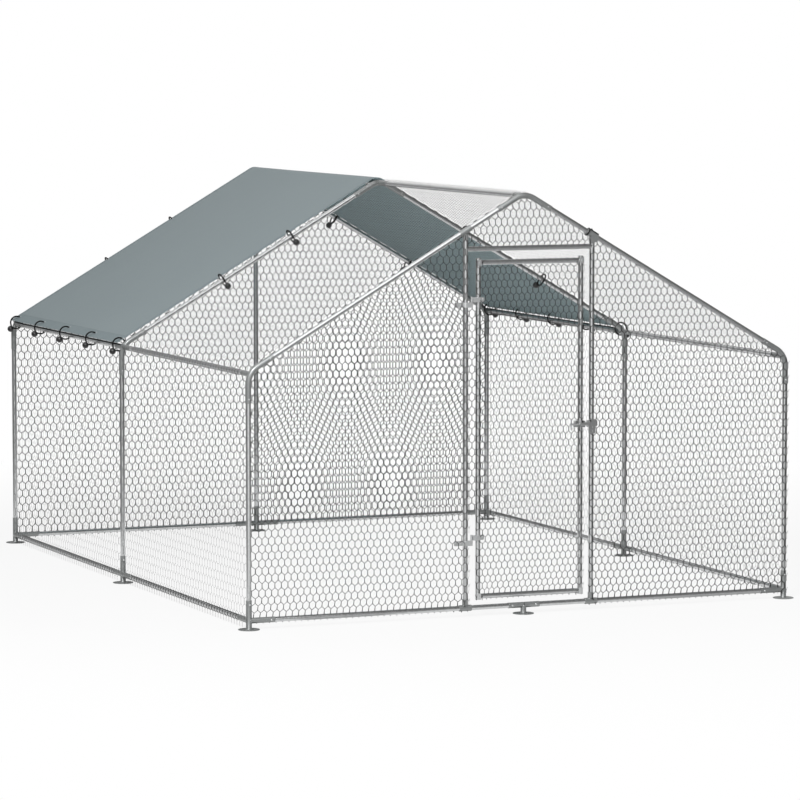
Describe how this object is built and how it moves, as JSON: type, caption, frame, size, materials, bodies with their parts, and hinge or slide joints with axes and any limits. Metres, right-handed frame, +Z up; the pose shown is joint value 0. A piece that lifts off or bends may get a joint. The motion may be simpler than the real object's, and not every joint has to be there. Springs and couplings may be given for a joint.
{
  "type": "walk-in poultry run",
  "caption": "Walk-in poultry run: gabled frame of sleeved steel tubes, hexagonal wire netting, hinged netted door with a sliding bolt, and a bungee-tied tarp over the rear bay.",
  "frame": {"origin": "on the ground at the middle of the run's width and length", "axes": "+Z up, -Y towards the front with the door, +Y along the ridge to the rear, +X to the right as seen from the front"},
  "size_m": [3.006, 3.8083, 2.0915],
  "materials": {
    "galvanised_tube": "bright galvanised round tube",
    "sleeve_grey": "matte grey sleeve fittings",
    "netting_wire": "dull galvanised wire netting",
    "hinge_steel": "zinc-plated strap",
    "latch_steel": "zinc-plated strap and bolt",
    "tarp_cloth": "matte coated cloth, grey with a blue-green cast",
    "bungee_cord": "black elastic cord",
    "bungee_ball": "black glossy ball"
  },
  "bodies": {
    "frame": {"bungee_balls": "bungee_ball", "bungee_cords": "bungee_cord", "door_header": "galvanised_tube", "door_post_clamps": "sleeve_grey", "front_bottom_rails": "galvanised_tube", "front_centre_foot": "sleeve_grey", "front_corner_feet": "sleeve_grey", "front_eave_elbows": "sleeve_grey", "front_left_net": "netting_wire", "front_left_post": "galvanised_tube", "front_left_rafter": "galvanised_tube", "front_right_net": "netting_wire", "front_right_post": "galvanised_tube", "front_right_rafter": "galvanised_tube", "front_top_net": "netting_wire", "hinge_pins": "hinge_steel", "hinge_post_straps": "hinge_steel", "latch_keeper": "latch_steel", "left_bottom_rails": "galvanised_tube", "left_door_post": "galvanised_tube", "left_eave_purlins": "galvanised_tube", "left_roof_net": "netting_wire", "left_wall_net": "netting_wire", "mid_eave_elbows": "sleeve_grey", "mid_left_post": "galvanised_tube", "mid_left_rafter": "galvanised_tube", "mid_right_post": "galvanised_tube", "mid_right_rafter": "galvanised_tube", "mid_side_feet": "sleeve_grey", "rear_bottom_rails": "galvanised_tube", "rear_centre_foot": "sleeve_grey", "rear_centre_post": "galvanised_tube", "rear_corner_feet": "sleeve_grey", "rear_eave_elbows": "sleeve_grey", "rear_left_post": "galvanised_tube", "rear_left_rafter": "galvanised_tube", "rear_net": "netting_wire", "rear_right_post": "galvanised_tube", "rear_right_rafter": "galvanised_tube", "ridge_elbows": "sleeve_grey", "ridge_purlins": "galvanised_tube", "right_bottom_rails": "galvanised_tube", "right_door_post": "galvanised_tube", "right_eave_purlins": "galvanised_tube", "right_roof_net": "netting_wire", "right_wall_net": "netting_wire", "tarp": "tarp_cloth"},
    "door": {"door_left_stile": "galvanised_tube", "door_right_stile": "galvanised_tube", "door_top_rail": "galvanised_tube", "door_bottom_rail": "galvanised_tube", "door_net": "netting_wire", "hinge_door_straps": "hinge_steel", "latch_barrel": "latch_steel"},
    "latch_bolt": {"latch_bolt": "latch_steel"}
  },
  "joints": [
    {"name": "door_swing", "type": "hinge", "parent": "frame", "child": "door", "pos_m": [-0.281, -1.85, 0.9625], "axis": [0, 0, -1], "range_deg": [0, 110]},
    {"name": "latch_slide", "type": "slide", "parent": "door", "child": "latch_bolt", "axis": [1, 0, 0], "range_m": [0, 0.036]}
  ]
}
